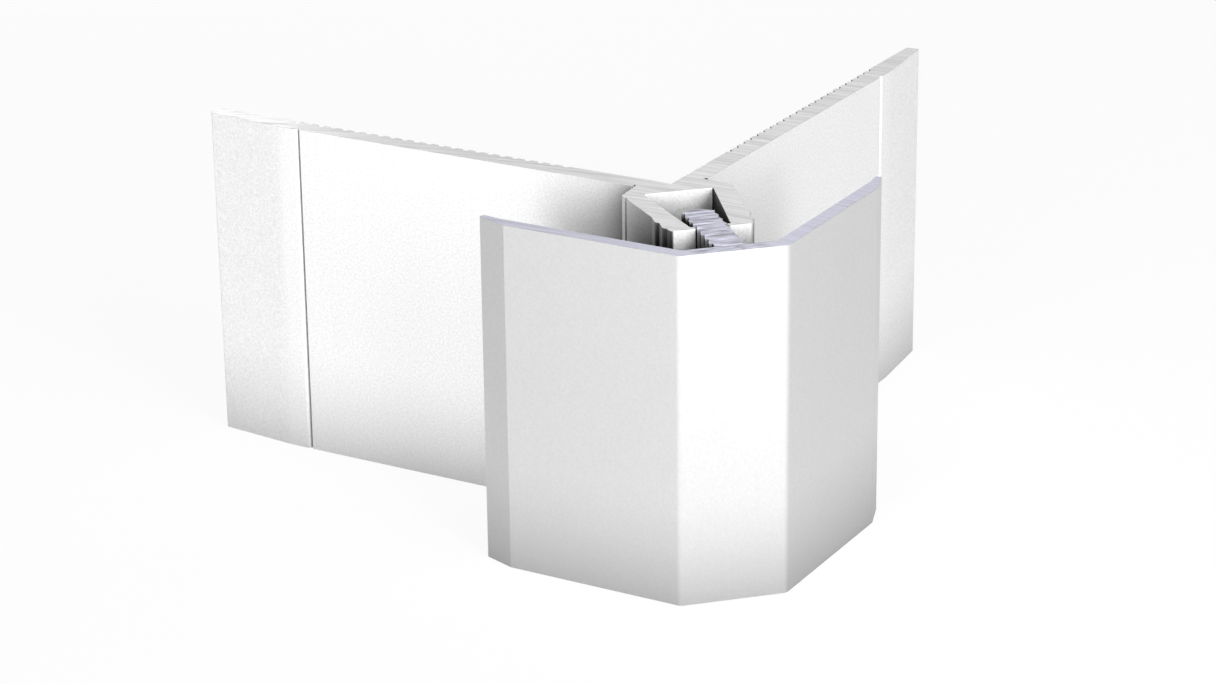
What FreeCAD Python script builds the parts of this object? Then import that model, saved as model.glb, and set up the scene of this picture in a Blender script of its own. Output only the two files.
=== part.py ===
# Corner guard moulding: a base profile that is glued into the panel corner, and
# a cover profile whose toothed tongue is pressed into the clamp of the base.
# Millimetres. The two wall faces meet on the Z axis. The left wing runs along -X
# with its back on the plane y = 0, the right wing along +Y with its back on the
# plane x = 0, and the cover stands in front, towards +X and -Y. The cut length
# stands on its saw cut at z = 0.
import FreeCAD, Part
import math
import os
import Sketcher

doc = FreeCAD.newDocument("corner_guard_moulding")
sheet = doc.addObject("Spreadsheet::Sheet", "sizes")

# Driving dimensions

SIZES = [
    ("cut_length", 32.9, "length of the cut stock, along Z"),
    ("wing_length", 50.2, "wall corner to the free edge of a wing"),
    ("wing_wall", 2.2, "thickness of a wing"),
    ("edge_wall", 1.35, "thickness of a wing at its free edge"),
    ("strip_width", 10.59, "free edge to the line groove that sets off the strip"),
    ("strip_land", 2.14, "width of the flat land before the taper"),
    ("mark_width", 0.36, "width of the line groove beside the edge strip"),
    ("mark_depth", 0.4, "depth of the line groove"),
    ("crest_round", 0.35, "round on the strip's edge of the line groove"),
    ("land_round", 8.0, "soft round where the land turns into the taper"),
    ("edge_round", 0.25, "round on the front of the free edge"),
    ("edge_back_round", 0.5, "round on the back of the free edge"),
    ("key_first", 11.06, "wall corner to the first glue groove"),
    ("key_pitch", 1.352, "pitch of the glue grooves"),
    ("plain_back", 9.0, "least plain width of the back beside the free edge"),
    ("key_radius", 0.34, "radius of a glue groove, centred on the back face"),
    ("panel_stop", 2.6, "wall corner to the foot of the face that stops a panel"),
    ("stop_lean", 0.25, "lean of the stop face over its height"),
    ("stop_height", 5.05, "wall face to the outer corner of a jaw"),
    ("relief", 0.35, "relief groove at the foot of the stop face"),
    ("corner_wall", 2.28, "metal behind the clamp channel, on the bisector"),
    ("channel_half", 3.27, "half width of the channel at its back"),
    ("throat_half", 1.86, "half width of the channel behind the jaw lips"),
    ("channel_round", 0.15, "round in the back corners of the channel"),
    ("jaw_round", 0.45, "round on the outer corner of a jaw, which ends its bead"),
    ("bead_run", 0.75, "jaw corner to the fine groove that sets off the bead"),
    ("bead_groove_width", 0.36, "width of the fine groove"),
    ("bead_groove_depth", 0.16, "depth of the fine groove"),
    ("ridge_count", 2, "grip ridges on the outside of each jaw"),
    ("ridge_half", 4.32, "half width of the clamp where the first ridge rises"),
    ("ridge_depth", 8.62, "wall corner to where the first ridge rises"),
    ("ridge_pitch", 1.65, "pitch of the ridges along the bisector"),
    ("ridge_step", 0.2, "narrowing of the clamp from ridge to ridge"),
    ("ridge_rise", 0.12, "height of a ridge's crest over its rise"),
    ("ridge_run", 1.32, "run of a ridge from its rise to its crest"),
    ("nose_half", 3.8, "half width of the clamp at its nose"),
    ("nose_round", 0.4, "round on the outer corners of the nose"),
    ("lip_thick", 0.65, "thickness of a jaw's gripping lip"),
    ("seat_gap", 0.08, "gap between a jaw lip and the barb that it holds"),
    ("lip_side_gap", 0.12, "gap between a jaw lip's edge and the tongue"),
    ("tongue_head", 7.6, "wall corner to the head of the tongue"),
    ("head_half", 0.5, "half width of the flat on the tongue's head"),
    ("barb_first", 8.4, "wall corner to the first barb's tip"),
    ("barb_pitch", 1.19, "pitch of the barbs along the tongue"),
    ("barb_half", 1.55, "half width of the tongue over its barbs"),
    ("core_half", 1.25, "half width of the tongue between its barbs"),
    ("barb_back", 0.12, "run of a barb's steep side"),
    ("held_count", 4, "barbs from the head to the one that the jaw lips hold"),
    ("root_room", 0.2, "least plain length of the tongue between barbs and round"),
    ("tongue_round", 0.4, "round where the tongue meets the cover"),
    ("cover_depth", 17.1, "wall face to the outer face of a cover leg"),
    ("cover_wall", 1.44, "thickness of the cover"),
    ("cover_corner", 10.1, "wall corner back to the bevel's edge on a leg"),
    ("leg_end", 7.5, "wall corner to the bend of a leg's lip"),
    ("lip_length", 3.36, "length of the lip's slanted outer face"),
    ("lip_angle", 19.2, "slant of the lip's outer face towards the wall, in degrees"),
    ("lip_tip", 0.62, "thickness of the lip at its tip"),
    ("lip_back_run", 1.5, "bend to where the lip's inner face starts to slant"),
    ("bevel_round", 0.8, "round on the outer edges of the bevel"),
    ("bevel_inner_round", 0.4, "round on the inner edges of the bevel"),
    ("bend_round", 0.5, "round on the outer edge of the lip's bend"),
    ("tip_round", 0.22, "round on the edges of the lip's tip"),
]

def fill_sheet():
    # One row a dimension: its name, its value under that name, and what it is.
    for row, (name, value, meaning) in enumerate(SIZES, start=1):
        sheet.set("A%d" % row, name)
        sheet.set("B%d" % row, str(value))
        sheet.setAlias("B%d" % row, name)
        sheet.set("C%d" % row, meaning)
    doc.recompute()


def size(name):
    return float(sheet.get(name))


def bound(text):
    # Turns the words in a formula that name a dimension into links to the sheet.
    words = sorted((name for name, value, meaning in SIZES), key=len, reverse=True)
    out = ""
    place = 0
    while place < len(text):
        word = next((w for w in words if text.startswith(w, place)), None)
        if word:
            out += "sizes." + word
            place += len(word)
        else:
            out += text[place]
            place += 1
    return out


# Corners of the sections

def on_wing(label, along, height):
    # A corner given along a wing from the wall corner and out from the wall.
    return (label, "(%s)" % along, "(%s)" % height)


def on_clamp(label, half, depth):
    # A corner given by its half width and its depth along the bisector.
    along = "((%s) - (%s)) / sqrt(2)" % (half, depth)
    height = "((%s) + (%s)) / sqrt(2)" % (half, depth)
    return on_wing(label, along, height)


def both_sides(half_corners):
    # The left half as given, then the same corners mirrored in the bisector.
    left = [(label, "-" + along, "-" + height) for label, along, height in half_corners]
    right = [(label, height, along) for label, along, height in reversed(half_corners)]
    return left + right


def outline(body, name, corners):
    # A closed outline whose corners are all tied to the sheet.
    sketch = body.newObject("Sketcher::SketchObject", name)
    plane = [f for f in body.Origin.OriginFeatures if f.Role == "XY_Plane"][0]
    sketch.AttachmentSupport = [(plane, "")]
    sketch.MapMode = "FlatFace"
    doc.recompute()
    probe = doc.addObject("App::FeaturePython", "probe")
    probe.addProperty("App::PropertyFloat", "value")
    points = []
    for label, across, up in corners:
        place = []
        for formula in (across, up):
            probe.setExpression("value", bound(formula))
            probe.recompute()
            place.append(probe.value)
        points.append(FreeCAD.Vector(place[0], place[1], 0))
    doc.removeObject(probe.Name)
    count = len(points)
    for index in range(count):
        sketch.addGeometry(Part.LineSegment(points[index], points[(index + 1) % count]))
    for index in range(count):
        sketch.addConstraint(Sketcher.Constraint("Coincident", index, 2, (index + 1) % count, 1))
    for index, (label, across, up) in enumerate(corners):
        for kind, formula, value in (
            ("DistanceX", across, points[index].x),
            ("DistanceY", up, points[index].y),
        ):
            number = sketch.addConstraint(Sketcher.Constraint(kind, index, 1, value))
            sketch.setExpression("Constraints[%d]" % number, bound(formula))
    doc.recompute()
    return sketch


def pad(body, name, sketch):
    feature = body.newObject("PartDesign::Pad", name)
    feature.Profile = sketch
    feature.setExpression("Length", "sizes.cut_length")
    sketch.Visibility = False
    body.Tip = feature
    doc.recompute()
    return feature


def upright_edges(feature, sketch, corners, label):
    # The names of the edges along Z that stand on the corners with this label.
    names = []
    for index, corner in enumerate(corners):
        if corner[0] != label:
            continue
        foot = sketch.Geometry[index].StartPoint
        for number, edge in enumerate(feature.Shape.Edges, start=1):
            low, high = edge.Vertexes[0].Point, edge.Vertexes[-1].Point
            level = abs(low.x - high.x) + abs(low.y - high.y)
            away = abs(low.x - foot.x) + abs(low.y - foot.y)
            if level < 1e-5 and away < 1e-5:
                names.append("Edge%d" % number)
    return names


def round_edges(body, sketch, corners, label, radius):
    below = body.Tip
    feature = body.newObject("PartDesign::Fillet", label + "_rounding")
    feature.Base = (below, upright_edges(below, sketch, corners, label))
    feature.setExpression("Radius", "sizes." + radius)
    body.Tip = feature
    doc.recompute()
    return feature


# Base profile

def nose_depth():
    # The lips close behind the barb that they hold, so the nose follows from it.
    held = "barb_first + (held_count - 1) * barb_pitch + barb_back"
    return "(%s + seat_gap + lip_thick)" % held


def jaw_side(run, sunk):
    # A place on the flat side of a jaw: its run from the outer corner along the
    # bisector, and how deep it lies under the side.
    corner_half = "((panel_stop - stop_lean + stop_height) / sqrt(2))"
    corner_depth = "((stop_height - panel_stop + stop_lean) / sqrt(2))"
    slope = "((%s - ridge_half) / (ridge_depth - %s))" % (corner_half, corner_depth)
    half = "%s - %s * (%s) - (%s)" % (corner_half, slope, run, sunk)
    depth = "%s + (%s)" % (corner_depth, run)
    return on_clamp("bead_groove", half, depth)


def base_half():
    catch = "(%s - lip_thick)" % nose_depth()
    slope = "((barb_half - core_half) / (barb_pitch - barb_back))"
    corners = [
        on_wing("wall_corner", "0", "0"),
        on_wing("edge_back", "wing_length", "0"),
        on_wing("edge_front", "wing_length", "edge_wall"),
        on_wing("land", "wing_length - strip_width + strip_land", "wing_wall"),
        on_wing("crest", "wing_length - strip_width", "wing_wall"),
        on_wing("mark", "wing_length - strip_width - mark_width / 2", "wing_wall - mark_depth"),
        on_wing("mark", "wing_length - strip_width - mark_width", "wing_wall"),
        on_wing("relief", "panel_stop + relief", "wing_wall"),
        on_wing("relief", "panel_stop + relief * 0.8", "wing_wall - relief"),
        on_wing("relief", "panel_stop", "wing_wall - relief"),
        on_wing("jaw", "panel_stop - stop_lean", "stop_height"),
        jaw_side("bead_run", "0"),
        jaw_side("bead_run + bead_groove_width / 2", "bead_groove_depth"),
        jaw_side("bead_run + bead_groove_width", "0"),
    ]
    for ridge in range(int(size("ridge_count"))):
        half = "ridge_half - %d * ridge_step" % ridge
        depth = "ridge_depth + %d * ridge_pitch" % ridge
        corners.append(on_clamp("rise", half, depth))
        corners.append(on_clamp("crest", half + " + ridge_rise", depth + " + ridge_run"))
    corners += [
        on_clamp("rise", "ridge_half - ridge_count * ridge_step",
                 "ridge_depth + ridge_count * ridge_pitch"),
        on_clamp("nose", "nose_half", nose_depth()),
        on_clamp("lip", "core_half + lip_side_gap + %s * lip_thick" % slope, nose_depth()),
        on_clamp("lip", "core_half + lip_side_gap", catch),
        on_clamp("throat", "throat_half", catch),
        on_clamp("channel", "channel_half", "corner_wall"),
    ]
    return corners


def glue_grooves(body, side):
    # Round grooves across the back of one wing: a first one, then as many repeats
    # as leave the back plain beside the free edge.
    room = "(sizes.wing_length - sizes.key_first - sizes.plain_back)"
    repeats_made = "floor(%s / sizes.key_pitch)" % room
    sketch = body.newObject("Sketcher::SketchObject", side + "_glue_groove")
    plane = [f for f in body.Origin.OriginFeatures if f.Role == "XY_Plane"][0]
    sketch.AttachmentSupport = [(plane, "")]
    sketch.MapMode = "FlatFace"
    doc.recompute()
    first = size("key_first")
    centre = FreeCAD.Vector(-first, 0, 0) if side == "left" else FreeCAD.Vector(0, first, 0)
    up = FreeCAD.Vector(0, 0, 1)
    sketch.addGeometry(Part.Circle(centre, up, size("key_radius")))
    number = sketch.addConstraint(Sketcher.Constraint("Radius", 0, size("key_radius")))
    sketch.setExpression("Constraints[%d]" % number, "sizes.key_radius")
    for kind, away, formula in (
        ("DistanceX", centre.x, "-sizes.key_first" if side == "left" else "0"),
        ("DistanceY", centre.y, "0" if side == "left" else "sizes.key_first"),
    ):
        if formula == "0":
            axis = -2 if kind == "DistanceX" else -1
            sketch.addConstraint(Sketcher.Constraint("PointOnObject", 0, 3, axis))
        else:
            number = sketch.addConstraint(Sketcher.Constraint(kind, 0, 3, away))
            sketch.setExpression("Constraints[%d]" % number, formula)
    doc.recompute()
    groove = body.newObject("PartDesign::Pocket", side + "_first_groove")
    groove.Profile = sketch
    groove.Type = "ThroughAll"
    groove.Midplane = True
    sketch.Visibility = False
    body.Tip = groove
    doc.recompute()
    repeats = body.newObject("PartDesign::LinearPattern", side + "_grooves")
    repeats.Originals = [groove]
    repeats.Direction = (sketch, ["H_Axis" if side == "left" else "V_Axis"])
    repeats.Reversed = side == "left"
    repeats.setExpression("Occurrences", "%s + 1" % repeats_made)
    repeats.setExpression("Length", "%s * sizes.key_pitch" % repeats_made)
    body.Tip = repeats
    doc.recompute()
    return repeats


def base_profile():
    body = doc.addObject("PartDesign::Body", "base_profile")
    body.Label = "base_profile"
    corners = both_sides(base_half())[1:]
    sketch = outline(body, "base_section", corners)
    pad(body, "base_stock", sketch)
    round_edges(body, sketch, corners, "edge_back", "edge_back_round")
    round_edges(body, sketch, corners, "edge_front", "edge_round")
    round_edges(body, sketch, corners, "land", "land_round")
    round_edges(body, sketch, corners, "crest", "crest_round")
    round_edges(body, sketch, corners, "jaw", "jaw_round")
    round_edges(body, sketch, corners, "nose", "nose_round")
    round_edges(body, sketch, corners, "channel", "channel_round")
    glue_grooves(body, "left")
    glue_grooves(body, "right")
    return body


# Cover profile

def bevel_inside():
    # Depth on the bisector of the bevel's inner face, where the tongue is rooted.
    return "((cover_depth + cover_corner) / sqrt(2) - cover_wall)"


def barb_count():
    # As many barbs as the tongue has room for before its root.
    root = (size("cover_depth") + size("cover_corner")) / math.sqrt(2) - size("cover_wall")
    room = root - size("tongue_round") - size("root_room") - size("barb_first") - size("barb_back")
    return int(room / size("barb_pitch")) + 1


def cover_half():
    inner = "(cover_depth - cover_wall)"
    lip_along = "(lip_length * cos(lip_angle))"
    lip_drop = "(lip_length * sin(lip_angle))"
    corners = [
        on_wing("bevel", "-cover_corner", "cover_depth"),
        on_wing("bend", "leg_end", "cover_depth"),
        on_wing("tip", "leg_end + %s" % lip_along, "cover_depth - %s" % lip_drop),
        on_wing("tip", "leg_end + %s - lip_tip * sin(lip_angle)" % lip_along,
                "cover_depth - %s - lip_tip * cos(lip_angle)" % lip_drop),
        on_wing("inner_bend", "leg_end + lip_back_run", inner),
        on_wing("inner_bevel", "-cover_corner + cover_wall * tan(22.5)", inner),
    ]
    corners.append(on_clamp("tongue", "core_half", bevel_inside()))
    for barb in reversed(range(barb_count())):
        tip = "barb_first + %d * barb_pitch" % barb
        corners.append(on_clamp("barb", "core_half", tip + " + barb_back"))
        corners.append(on_clamp("barb", "barb_half", tip))
    corners.append(on_clamp("head", "head_half", "tongue_head"))
    return corners


def cover_profile():
    body = doc.addObject("PartDesign::Body", "cover_profile")
    body.Label = "cover_profile"
    corners = both_sides(cover_half())
    sketch = outline(body, "cover_section", corners)
    pad(body, "cover_stock", sketch)
    round_edges(body, sketch, corners, "bevel", "bevel_round")
    round_edges(body, sketch, corners, "inner_bevel", "bevel_inner_round")
    round_edges(body, sketch, corners, "bend", "bend_round")
    round_edges(body, sketch, corners, "tip", "tip_round")
    round_edges(body, sketch, corners, "tongue", "tongue_round")
    return body


fill_sheet()
parts = [base_profile(), cover_profile()]
doc.recompute()

# Checks, then one file a piece

for thing in doc.Objects:
    faults = [state for state in thing.State if state in ("Invalid", "Error")]
    if faults:
        raise RuntimeError("%s is %s" % (thing.Name, faults))

os.makedirs("parts", exist_ok=True)
for body in parts:
    shape = body.Shape
    if shape.isNull() or not shape.isValid():
        raise RuntimeError(body.Label + " has no valid shape")
    if len(shape.Solids) != 1:
        raise RuntimeError(body.Label + " isn't one solid")
    shape.exportStep("parts/%s.step" % body.Label)
    print(body.Label, round(shape.Volume, 1), shape.BoundBox)
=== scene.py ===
# %% [markdown]
# # Corner guard moulding
# A short cut length of a two-piece aluminium moulding for an outside wall corner. The base profile
# is glued to the wall corner, panels slide in at both sides, and the cover profile is pressed into
# the clamp of the base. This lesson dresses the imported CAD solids: their shape is final, so the work
# here is the finish of the metal, the studio around it, and the camera.

# %% Load the frame
import math

import bpy
from mathutils import Matrix, Vector


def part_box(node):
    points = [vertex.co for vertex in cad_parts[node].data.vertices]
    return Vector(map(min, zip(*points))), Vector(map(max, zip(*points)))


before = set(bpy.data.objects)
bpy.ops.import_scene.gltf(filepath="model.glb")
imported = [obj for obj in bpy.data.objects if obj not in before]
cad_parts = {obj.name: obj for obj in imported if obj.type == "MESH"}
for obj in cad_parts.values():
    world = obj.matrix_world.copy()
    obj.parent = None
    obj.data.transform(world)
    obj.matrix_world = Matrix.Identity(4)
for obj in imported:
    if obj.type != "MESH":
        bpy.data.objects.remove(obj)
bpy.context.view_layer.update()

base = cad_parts["base_profile"]
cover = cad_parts["cover_profile"]
MM = 0.001
cut_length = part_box("base_profile")[1].z
print("pieces:", base.name, cover.name, "cut length", round(cut_length / MM, 2), "mm")

# %% [markdown]
# ## The edges left by the saw and the die
# No edge of an extrusion is perfectly sharp: the die leaves a tiny radius on each fold, and the saw
# cut is quickly deburred. It could be painted with a shader, but only real geometry catches the light
# from every side and survives the export. A Weld modifier first joins the corners that the file keeps
# apart, then a Bevel modifier breaks the edges that carry a weight. An edge gets one if the faces on
# its two sides turn more sharply than a fold. The small round glue grooves on the back are left out:
# their short edges are closer together than the bevel is wide, so they are marked sharp instead. The
# last modifier works out the shading normals anew and lets the large flat faces win, so that a flat
# face stays flat right up to its rim.

# %% Hairline bevels
RIM_WIDTH = 0.03 * MM
WELD_DISTANCE = 0.001 * MM
RIM_SEGMENTS = 2
SHARP = math.radians(40)
GROOVE_ZONE = 0.45 * MM
GROOVES_FROM = 10 * MM


def at_groove(point):
    on_left = point.x < -GROOVES_FROM and point.y > -GROOVE_ZONE
    on_right = point.y > GROOVES_FROM and point.x < GROOVE_ZONE
    return on_left or on_right


def cell_of(vertex):
    # Corners in the same cell are one corner of the solid.
    return tuple(round(v / WELD_DISTANCE) for v in vertex.co)


def sharp_edges(mesh):
    # The file keeps a corner once for each smooth face, so edges are matched by where they are.
    found = {}
    for face in mesh.polygons:
        for pair in face.edge_keys:
            ends = frozenset(cell_of(mesh.vertices[i]) for i in pair)
            found.setdefault(ends, []).append((pair, face.normal))
    for sides in found.values():
        if len(sides) != 2 or sides[0][1].angle(sides[1][1], 0) < SHARP:
            continue
        in_groove = all(at_groove(mesh.vertices[i].co) for i in sides[0][0])
        for pair, normal in sides:
            yield tuple(sorted(pair)), in_groove


def soften(piece):
    chosen = dict(sharp_edges(piece.data))
    weight = piece.data.attributes.new("bevel_weight_edge", "FLOAT", "EDGE")
    for edge in piece.data.edges:
        in_groove = chosen.get(tuple(sorted(edge.vertices)))
        weight.data[edge.index].value = float(in_groove is False)
        edge.use_edge_sharp = in_groove is True
    weld = piece.modifiers.new("joined corners", "WELD")
    weld.merge_threshold = WELD_DISTANCE
    rim = piece.modifiers.new("broken edges", "BEVEL")
    rim.width = RIM_WIDTH
    rim.segments = RIM_SEGMENTS
    rim.limit_method = "WEIGHT"
    rim.use_clamp_overlap = False
    shading = piece.modifiers.new("flat faces stay flat", "WEIGHTED_NORMAL")
    shading.keep_sharp = True
    print(piece.name, "sharp edges:", len(chosen) // 2, "in glue grooves:", sum(chosen.values()) // 2)


for piece in (base, cover):
    soften(piece)

# %% [markdown]
# ## Small helpers for shader nodes
# A material is a graph, and a graph written out node by node is long to read. A few helpers keep it
# short: one fills a socket, one adds a node with its values, one does a sum, and one tells where a
# point lies on the piece. The last two start a node group with named inputs and outputs and place it
# in a finish, so that an effect is built once and used in each finish with its own values.

# %% Node helpers
def fill(tree, socket, value):
    # A socket takes a link if the value is another node's output, and otherwise the value itself.
    if isinstance(value, bpy.types.NodeSocket):
        tree.links.new(value, socket)
    else:
        socket.default_value = value


def add(tree, kind, values=None, **settings):
    node = tree.nodes.new(kind)
    for name, value in settings.items():
        setattr(node, name, value)
    for name, value in (values or {}).items():
        fill(tree, node.inputs[name], value)
    return node


def calc(tree, operation, *values):
    node = add(tree, "ShaderNodeMath", operation=operation)
    for socket, value in zip(node.inputs, values):
        fill(tree, socket, value)
    return node.outputs["Value"]


def piece_place(tree):
    place_on_piece = add(tree, "ShaderNodeTexCoord").outputs["Object"]
    return add(tree, "ShaderNodeSeparateXYZ", {"Vector": place_on_piece}).outputs


def start_group(name, takes, gives):
    tree = bpy.data.node_groups.new(name, "ShaderNodeTree")
    for label, value in takes.items():
        taken = tree.interface.new_socket(label, in_out="INPUT", socket_type="NodeSocketFloat")
        taken.default_value = value
    for label in gives:
        tree.interface.new_socket(label, in_out="OUTPUT", socket_type="NodeSocketFloat")
    return tree, tree.nodes.new("NodeGroupInput").outputs, tree.nodes.new("NodeGroupOutput").inputs


def place(tree, group, **values):
    node = tree.nodes.new("ShaderNodeGroup")
    node.node_tree = group
    for name, value in values.items():
        fill(tree, node.inputs[name.replace("_", " ")], value)
    return node.outputs


# %% [markdown]
# ## What the die and the etching bath leave
# Before anodising, the profile is etched dull. Close up, its skin is a fine even grain, and under it
# faint straight lines run along the length, where the die dragged over the metal. Both are too fine
# for geometry. The grain is a small noise. The lines are the same noise stretched along Z, so that
# they follow the way the metal was pushed. A slow third noise lets the tone drift a little, because
# no bath works evenly. The group puts out one value for the tone, one for the gloss and one height.

# %% The drawn and etched skin
GRAIN_SIZE = 0.22 * MM
LINE_WIDTH = 0.35 * MM
LINE_STRETCH = 0.02
CLOUD_SIZE = 9 * MM
CLOUD_STRETCH = 0.6
NOISE_MIDDLE = 0.5


def stretched_noise(tree, size, stretch, detail):
    place_on_piece = add(tree, "ShaderNodeTexCoord").outputs["Object"]
    squeezed = add(tree, "ShaderNodeVectorMath", operation="MULTIPLY")
    tree.links.new(place_on_piece, squeezed.inputs[0])
    squeezed.inputs[1].default_value = (1 / size, 1 / size, stretch / size)
    noise = add(tree, "ShaderNodeTexNoise", {"Vector": squeezed.outputs[0], "Scale": 1, "Detail": detail})
    return calc(tree, "SUBTRACT", noise.outputs["Fac"], NOISE_MIDDLE)


skin, skin_in, skin_out = start_group(
    "drawn and etched skin",
    {"Grain": 0.1, "Lines": 0.05, "Clouds": 0.04, "Gloss change": 0.1},
    ["Tone", "Gloss", "Height"],
)
grain_noise = stretched_noise(skin, GRAIN_SIZE, 1, detail=2)
line_noise = stretched_noise(skin, LINE_WIDTH, LINE_STRETCH, detail=3)
cloud_noise = stretched_noise(skin, CLOUD_SIZE, CLOUD_STRETCH, detail=4)
grain = calc(skin, "MULTIPLY", grain_noise, skin_in["Grain"])
lines = calc(skin, "MULTIPLY", line_noise, skin_in["Lines"])
clouds = calc(skin, "MULTIPLY", cloud_noise, skin_in["Clouds"])
fine = calc(skin, "ADD", grain, lines)
fill(skin, skin_out["Height"], fine)
fill(skin, skin_out["Tone"], calc(skin, "ADD", calc(skin, "ADD", fine, clouds), 1.0))
uneven_gloss = calc(skin, "ADD", grain, clouds)
fill(skin, skin_out["Gloss"], calc(skin, "MULTIPLY", uneven_gloss, skin_in["Gloss change"]))
print("group:", skin.name, [s.name for s in skin_out if s.name])

# %% [markdown]
# ## Painted shade in the pockets
# The pockets between the two profiles are darkened in the colour itself: this is painted shade. Faces
# that look towards the right front lamps, 60 degrees round the table, keep their full colour, and the
# others get darker where the space in front of them is closed: beside the jaws, between the ridges and
# under the teeth. Painting it by hand would take a mask for each pocket. The Ambient Occlusion node
# finds them all: it measures how much of the space in front of a point is open, within a short reach.
# The node follows shadow rays, and further down the floor is left out of those, so the node does not
# darken the foot of an open wall. The foot of each wall gets its own painted shade, darker towards the
# bottom and lighter upwards. The painted shade also raises the roughness, so a second value goes to the
# gloss.

# %% Painted shade in the pockets and at the foot
SHADE_REACH = 11 * MM
SHADE_STRENGTH = 3.4
OCCLUSION_SAMPLES = 8
FOOT_SHADE = 0.36
FOOT_SHADE_HEIGHT = 11 * MM
FOOT_SHADE_FALL = 1.6
LIT_SIDE_AZIMUTH = math.radians(60)
FACING_LIT_SIDE = 0.87
BESIDE_LIT_SIDE = 0.55

painted_shade, shade_in, shade_out = start_group("film in the pockets", {"Strength": SHADE_STRENGTH}, ["Clean", "Dull"])
occlusion = add(painted_shade, "ShaderNodeAmbientOcclusion", {"Distance": SHADE_REACH}, samples=OCCLUSION_SAMPLES)
# Faces turned towards the right front lamps (60 degrees round the table) get no painted shade.
facing = add(painted_shade, "ShaderNodeVectorMath", operation="DOT_PRODUCT")
painted_shade.links.new(add(painted_shade, "ShaderNodeTexCoord").outputs["Normal"], facing.inputs[0])
facing.inputs[1].default_value = (math.sin(LIT_SIDE_AZIMUTH), -math.cos(LIT_SIDE_AZIMUTH), 0)
shade_amount = add(painted_shade, "ShaderNodeMapRange", {
    "Value": facing.outputs["Value"],
    "From Min": BESIDE_LIT_SIDE,
    "From Max": FACING_LIT_SIDE,
    "To Min": 1.0,
    "To Max": 0.0,
}).outputs[0]
# Painted pocket shade: the colour darkens where the occlusion finds the space in front closed.
after_pocket_shade = calc(painted_shade, "POWER", occlusion.outputs["AO"], calc(painted_shade, "MULTIPLY", shade_in["Strength"], shade_amount))
# Painted shade at the foot: each wall's colour gets darker towards the bottom.
near_foot = add(painted_shade, "ShaderNodeMapRange", {
    "Value": piece_place(painted_shade)["Z"],
    "From Max": FOOT_SHADE_HEIGHT,
    "To Min": 1.0,
    "To Max": 0.0,
}).outputs[0]
foot_shade = calc(painted_shade, "MULTIPLY", calc(painted_shade, "POWER", near_foot, FOOT_SHADE_FALL), FOOT_SHADE)
unshaded_share = calc(painted_shade, "MULTIPLY", after_pocket_shade, calc(painted_shade, "SUBTRACT", 1.0, foot_shade))
fill(painted_shade, shade_out["Clean"], unshaded_share)
fill(painted_shade, shade_out["Dull"], calc(painted_shade, "SUBTRACT", 1.0, unshaded_share))
print("film reaches", round(SHADE_REACH / MM, 1), "mm out of a corner")

# %% [markdown]
# ## What the saw leaves
# The ends were cut by a round blade, so its marks are not straight: they are arcs about the blade's
# axis, which stood far outside the piece. Measuring each point's distance from that axis gives rings,
# and a noise over the distance makes them uneven, as real feed marks are. A little noise along the
# arc breaks them up, because a tooth does not cut the same way all along.

# %% Arcs of the saw blade
BLADE_AXIS = (6 * MM, -150 * MM)
MARK_PITCH = 0.42 * MM
MARK_LENGTH = 9 * MM

saw, saw_in, saw_out = start_group("saw arcs", {"Depth": 0.2}, ["Mark"])
on_cut = piece_place(saw)
beside_axis = calc(saw, "SUBTRACT", on_cut["X"], BLADE_AXIS[0])
before_axis = calc(saw, "SUBTRACT", on_cut["Y"], BLADE_AXIS[1])
beside_squared = calc(saw, "MULTIPLY", beside_axis, beside_axis)
before_squared = calc(saw, "MULTIPLY", before_axis, before_axis)
radius = calc(saw, "SQRT", calc(saw, "ADD", beside_squared, before_squared))
turn = calc(saw, "ARCTAN2", beside_axis, before_axis)
along = calc(saw, "MULTIPLY", turn, abs(BLADE_AXIS[1]) / MARK_LENGTH)
ring = calc(saw, "DIVIDE", radius, MARK_PITCH)
arc_place = add(saw, "ShaderNodeCombineXYZ", {"X": ring, "Y": along, "Z": 0}).outputs[0]
marks = add(saw, "ShaderNodeTexNoise", {"Vector": arc_place, "Scale": 1, "Detail": 3}).outputs["Fac"]
level_marks = calc(saw, "SUBTRACT", marks, NOISE_MIDDLE)
fill(saw, saw_out["Mark"], calc(saw, "MULTIPLY", level_marks, saw_in["Depth"]))
print("blade axis", [round(v / MM) for v in BLADE_AXIS], "mm from the wall corner")

# %% [markdown]
# ## Chatter on the tongue
# The toothed tongue of the cover stands free, so it shook while the blade went through and its cut is
# rough: uneven ripples run across it from tooth to tooth. On the legs the cut is calm again. The
# ripples are a noise in the tongue's own directions, much longer across than down, and a mask fades
# them out on both sides of the tongue. The group puts out the height of the ripples.

# %% Ripples across the tongue
RIPPLE_PITCH = 0.55 * MM
RIPPLE_LENGTH = 2.8 * MM
CALM_FROM = 2.4 * MM
CALM_AT = 4.0 * MM
DIAGONAL = math.sqrt(0.5)

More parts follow.
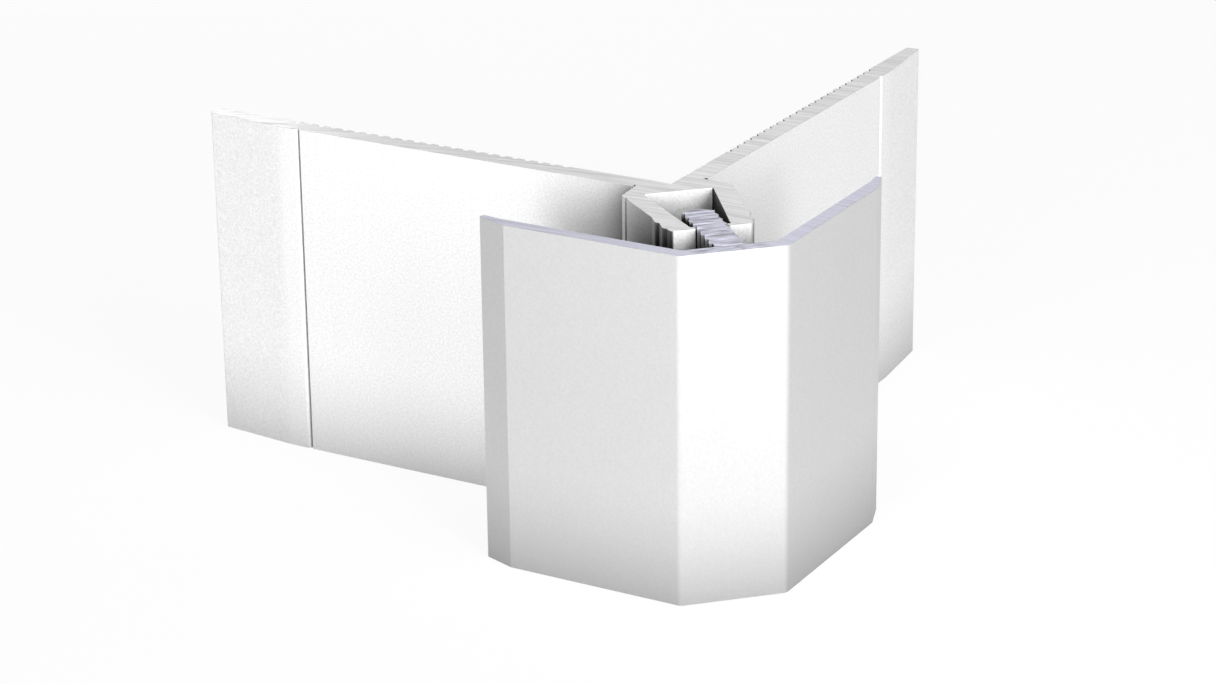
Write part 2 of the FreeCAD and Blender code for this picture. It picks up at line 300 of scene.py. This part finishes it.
chatter, chatter_in, chatter_out = start_group("chatter on the tongue", {"Depth": 1.0}, ["Ripple"])
on_cut = piece_place(chatter)
across = calc(chatter, "MULTIPLY", calc(chatter, "ADD", on_cut["X"], on_cut["Y"]), DIAGONAL)
down = calc(chatter, "MULTIPLY", calc(chatter, "SUBTRACT", on_cut["X"], on_cut["Y"]), DIAGONAL)
ripple_place = add(chatter, "ShaderNodeCombineXYZ", {
    "X": calc(chatter, "DIVIDE", across, RIPPLE_LENGTH),
    "Y": calc(chatter, "DIVIDE", down, RIPPLE_PITCH),
    "Z": 0,
}).outputs[0]
ripples = add(chatter, "ShaderNodeTexNoise", {
    "Vector": ripple_place,
    "Scale": 1,
    "Detail": 4,
    "Distortion": 1.2,
}).outputs["Fac"]
rough_part = add(chatter, "ShaderNodeMapRange", {
    "Value": calc(chatter, "ABSOLUTE", across),
    "From Min": CALM_FROM,
    "From Max": CALM_AT,
    "To Min": 1.0,
    "To Max": 0.0,
}).outputs[0]
level_ripples = calc(chatter, "SUBTRACT", ripples, NOISE_MIDDLE)
uneven = calc(chatter, "MULTIPLY", level_ripples, rough_part)
fill(chatter, chatter_out["Ripple"], calc(chatter, "MULTIPLY", uneven, chatter_in["Depth"]))
print("ripples every", round(RIPPLE_PITCH / MM, 2), "mm down the tongue")

# %% [markdown]
# ## Two finishes for the walls, two for the cuts
# The base is satin anodised and a little brighter. The cover is the piece that stays in view, so it
# has a finer, duller finish. The cut faces are bare metal. Each finish is one Principled shader with
# plain numbers on its own sockets, and only what changes over the surface comes from the groups.

# %% Finishes
METALLIC = 0.8
SHADE_DULLNESS = 0.3


def new_finish(name):
    finish = bpy.data.materials.new(name)
    finish.use_nodes = True
    tree = finish.node_tree
    shader = tree.nodes["Principled BSDF"]
    shader.inputs["Metallic"].default_value = METALLIC
    return finish, tree, shader


def tinted(tree, colour, tone):
    scaled = add(tree, "ShaderNodeVectorMath", operation="SCALE")
    scaled.inputs[0].default_value = colour
    tree.links.new(tone, scaled.inputs["Scale"])
    return scaled.outputs[0]


def relief(tree, height, depth):
    bump = add(tree, "ShaderNodeBump", {"Strength": 1.0, "Distance": depth, "Height": height})
    return bump.outputs["Normal"]


def anodised(name, colour, roughness, depth, **amounts):
    finish, tree, shader = new_finish(name)
    surface = place(tree, skin, **amounts)
    # Painted shade from the pockets and the foot darkens the base colour and raises the roughness.
    pocket_shade = place(tree, painted_shade, Strength=SHADE_STRENGTH)
    tone = calc(tree, "MULTIPLY", surface["Tone"], pocket_shade["Clean"])
    fill(tree, shader.inputs["Base Color"], tinted(tree, colour, tone))
    dull = calc(tree, "MULTIPLY_ADD", pocket_shade["Dull"], SHADE_DULLNESS, roughness)
    fill(tree, shader.inputs["Roughness"], calc(tree, "ADD", surface["Gloss"], dull))
    fill(tree, shader.inputs["Normal"], relief(tree, surface["Height"], depth))
    return finish


def sawn(name, colour, roughness, depth, marks_depth, ripple_depth):
    finish, tree, shader = new_finish(name)
    saw_mark = place(tree, saw, Depth=marks_depth)["Mark"]
    mark = calc(tree, "ADD", saw_mark, place(tree, chatter, Depth=ripple_depth)["Ripple"])
    surface = place(tree, skin, Grain=0.08, Lines=0.0, Clouds=0.1, Gloss_change=0.3)
    tone = calc(tree, "ADD", mark, surface["Tone"])
    fill(tree, shader.inputs["Base Color"], tinted(tree, colour, tone))
    fill(tree, shader.inputs["Roughness"], calc(tree, "ADD", surface["Gloss"], roughness))
    fill(tree, shader.inputs["Normal"], relief(tree, mark, depth))
    return finish


BASE_COLOUR = (0.88, 0.88, 0.88)
COVER_COLOUR = (0.61, 0.61, 0.61)
CUT_COLOUR = (0.55, 0.55, 0.55)
COVER_CUT_COLOUR = (0.41, 0.41, 0.49)

satin = anodised(
    "satin_anodised", BASE_COLOUR, roughness=0.60, depth=0.03 * MM,
    Grain=0.36, Lines=0.02, Clouds=0.03, Gloss_change=0.5,
)
matte = anodised(
    "fine_matte_anodised", COVER_COLOUR, roughness=0.60, depth=0.03 * MM,
    Grain=0.20, Lines=0.01, Clouds=0.02, Gloss_change=0.5,
)
base_cut = sawn(
    "sawn_base", CUT_COLOUR, roughness=0.45, depth=0.07 * MM,
    marks_depth=0.9, ripple_depth=0.0,
)
cover_cut = sawn(
    "sawn_cover", COVER_CUT_COLOUR, roughness=0.40, depth=0.05 * MM,
    marks_depth=0.7, ripple_depth=3.2,
)
print("finishes:", [finish.name for finish in (satin, matte, base_cut, cover_cut)])

# %% [markdown]
# ## Which face wears which finish
# The solids come with one material each. The two saw cuts are the only faces that look straight up
# or down, so their normals pick them out, and those faces take the second material slot.

# %% Put the finishes on
FACING_END = 0.99


def dress(piece, walls, cut):
    piece.data.materials.clear()
    piece.data.materials.append(walls)
    piece.data.materials.append(cut)
    ends = [face for face in piece.data.polygons if abs(face.normal.z) > FACING_END]
    for face in piece.data.polygons:
        face.material_index = 0
    for face in ends:
        face.material_index = 1
    print(piece.name, "faces:", len(piece.data.polygons), "of them on the saw cuts:", len(ends))


dress(base, satin, base_cut)
dress(cover, matte, cover_cut)

# %% [markdown]
# ## The camera
# The photograph looks down a little and stands left of the bisector of the two wings. The long lens
# keeps the upright edges almost parallel. The camera is aimed at a point near the clamp, from the
# azimuth, elevation and distance that make the straight edges of the section fall where they do in
# the photograph.

# %% Camera
PHOTO_WIDTH = 1216
FOCAL_PIXELS = 3539.15
SENSOR = 36
BISECTOR = 45
LEFT_OF_BISECTOR = 15.1124
AZIMUTH = math.radians(BISECTOR - LEFT_OF_BISECTOR)
ELEVATION = math.radians(20.8009)
ROLL = math.radians(-0.6812)
DISTANCE = 332.49 * MM
AIM = Vector((-8.05, 2.12, 15.39)) * MM
NEAREST_SEEN = 0.01
FARTHEST_SEEN = 10


def camera_axes(azimuth, elevation, roll):
    forward = Vector((
        -math.sin(azimuth) * math.cos(elevation),
        math.cos(azimuth) * math.cos(elevation),
        -math.sin(elevation),
    ))
    right = forward.cross(Vector((0, 0, 1))).normalized()
    up = right.cross(forward)
    turned_right = right * math.cos(roll) + up * math.sin(roll)
    turned_up = up * math.cos(roll) - right * math.sin(roll)
    return turned_right, turned_up, forward


right, up, forward = camera_axes(AZIMUTH, ELEVATION, ROLL)
camera = bpy.data.objects.new("camera", bpy.data.cameras.new("camera"))
bpy.context.scene.collection.objects.link(camera)
turned = Matrix((right, up, -forward)).transposed().to_4x4()
camera.matrix_world = Matrix.Translation(AIM - forward * DISTANCE) @ turned
camera.data.sensor_width = SENSOR
camera.data.lens = FOCAL_PIXELS / PHOTO_WIDTH * SENSOR
camera.data.clip_start = NEAREST_SEEN
camera.data.clip_end = FARTHEST_SEEN
bpy.context.scene.camera = camera
camera_place = [round(v / MM, 1) for v in camera.location]
print("camera at", camera_place, "mm, lens", round(camera.data.lens, 1), "mm")

# %% [markdown]
# ## Floor and world
# The piece stands on a plain white floor. What the camera and the metal see of the floor is in part
# plain white at strength 1, through the Light Path node, so the lamps need not be raised to make it
# white. The rest of the floor's white is lit in the ordinary way, and there the shadow stays. The
# world is white as well, but the metal sees the white walls of the studio only up to a height. Above
# them is a dim ceiling, and without it the pockets between the two profiles would have no depth.

# %% White floor, white walls, dim ceiling
WHITE = (1, 1, 1, 1)
FLOOR_HALF = 3.0
PAPER = (0.95, 0.95, 0.95, 1)
WHITE_TO_CAMERA = 0.92
WHITE_TO_METAL = 0.4
SKY_ON_MATT = 0.1
WALLS_TO_METAL = 0.6
WALL_TOP = 0.35
CEILING = 0.8
CEILING_TO_METAL = 0.35


def white_share(tree, to_camera, to_gloss):
    # How much of the plain white a ray sees: one share for the camera, one for reflections.
    path = add(tree, "ShaderNodeLightPath").outputs
    camera_part = calc(tree, "MULTIPLY", path["Is Camera Ray"], to_camera)
    bent = calc(tree, "MAXIMUM", path["Is Glossy Ray"], path["Is Transmission Ray"])
    return calc(tree, "ADD", camera_part, calc(tree, "MULTIPLY", bent, to_gloss))


def white_floor():
    mesh = bpy.data.meshes.new("floor")
    corners = [(-1, -1), (1, -1), (1, 1), (-1, 1)]
    mesh.from_pydata([(x * FLOOR_HALF, y * FLOOR_HALF, 0) for x, y in corners], [], [(0, 1, 2, 3)])
    floor = bpy.data.objects.new("floor", mesh)
    bpy.context.scene.collection.objects.link(floor)
    paper = bpy.data.materials.new("white_paper")
    paper.use_nodes = True
    tree = paper.node_tree
    tree.nodes.remove(tree.nodes["Principled BSDF"])
    lit = add(tree, "ShaderNodeBsdfDiffuse", {"Color": PAPER})
    glow = add(tree, "ShaderNodeEmission", {"Color": WHITE, "Strength": 1.0})
    mix = add(tree, "ShaderNodeMixShader")
    fill(tree, mix.inputs[0], white_share(tree, WHITE_TO_CAMERA, WHITE_TO_METAL))
    tree.links.new(lit.outputs[0], mix.inputs[1])
    tree.links.new(glow.outputs[0], mix.inputs[2])
    tree.links.new(mix.outputs[0], tree.nodes["Material Output"].inputs["Surface"])
    mesh.materials.append(paper)
    # The occlusion in the painted pocket shade follows shadow rays; the floor is left out of them, so it
    # does not darken a wall's foot.
    floor.visible_shadow = False


def white_world():
    world = bpy.data.worlds.new("studio")
    world.use_nodes = True
    bpy.context.scene.world = world
    tree = world.node_tree
    light = tree.nodes["Background"]
    light.inputs["Color"].default_value = WHITE
    direction = add(tree, "ShaderNodeTexCoord").outputs["Generated"]
    height = add(tree, "ShaderNodeSeparateXYZ", {"Vector": direction}).outputs["Z"]
    walls = add(tree, "ShaderNodeMapRange", {
        "Value": height,
        "From Min": WALL_TOP,
        "From Max": CEILING,
        "To Min": WALLS_TO_METAL - SKY_ON_MATT,
        "To Max": CEILING_TO_METAL - SKY_ON_MATT,
    })
    direct = white_share(tree, 1.0 - SKY_ON_MATT, walls.outputs[0])
    fill(tree, light.inputs["Strength"], calc(tree, "ADD", direct, SKY_ON_MATT))


white_floor()
white_world()
bpy.context.scene.view_settings.view_transform = "Standard"
print("floor", 2 * FLOOR_HALF, "m wide, white walls up to", WALL_TOP)

# %% [markdown]
# ## Lamps
# Soft boxes around the piece, each a round area lamp aimed at the clamp. Their place is given the way
# a photographer walks round a table: the angle from the front of the left wing, the height angle and
# the distance. Most are wide and stand far off, so that flat faces keep an even tone. A small one
# stands close by on the right, and because it is near, its light falls off over the piece.

# %% Soft boxes
TARGET = Vector((5, -5, 15)) * MM
LAMPS = [
    # name, angle round the table, height angle, distance in m, width in m, power in W
    ("left_front_box", 5, 14, 0.6, 0.24, 2.1),
    ("right_front_box", 60, 14, 0.6, 0.24, 1.55),
    ("high_right_box", 60, 35, 0.6, 0.24, 1.0),
    ("high_back_box", -155, 35, 0.6, 0.24, 0.36),
    ("low_back_box", -135, 6, 0.5, 0.1, 0.6),
    ("top_box", 0, 89, 0.6, 0.6, 0.35),
    ("near_right_box", 70, 35, 0.16, 0.1, 0.105),
]


def soft_box(name, azimuth, elevation, distance, width, power):
    turn_angle, height_angle = math.radians(azimuth), math.radians(elevation)
    towards = Vector((
        math.sin(turn_angle) * math.cos(height_angle),
        -math.cos(turn_angle) * math.cos(height_angle),
        math.sin(height_angle),
    ))
    lamp = bpy.data.objects.new(name, bpy.data.lights.new(name, "AREA"))
    bpy.context.scene.collection.objects.link(lamp)
    lamp.data.shape = "DISK"
    lamp.data.size = width
    lamp.data.energy = power
    lamp.location = TARGET + towards * distance
    lamp.rotation_euler = (-towards).to_track_quat("-Z", "Y").to_euler()
    lamp.visible_camera = False


for lamp_values in LAMPS:
    soft_box(*lamp_values)
print("lamps:", [values[0] for values in LAMPS])
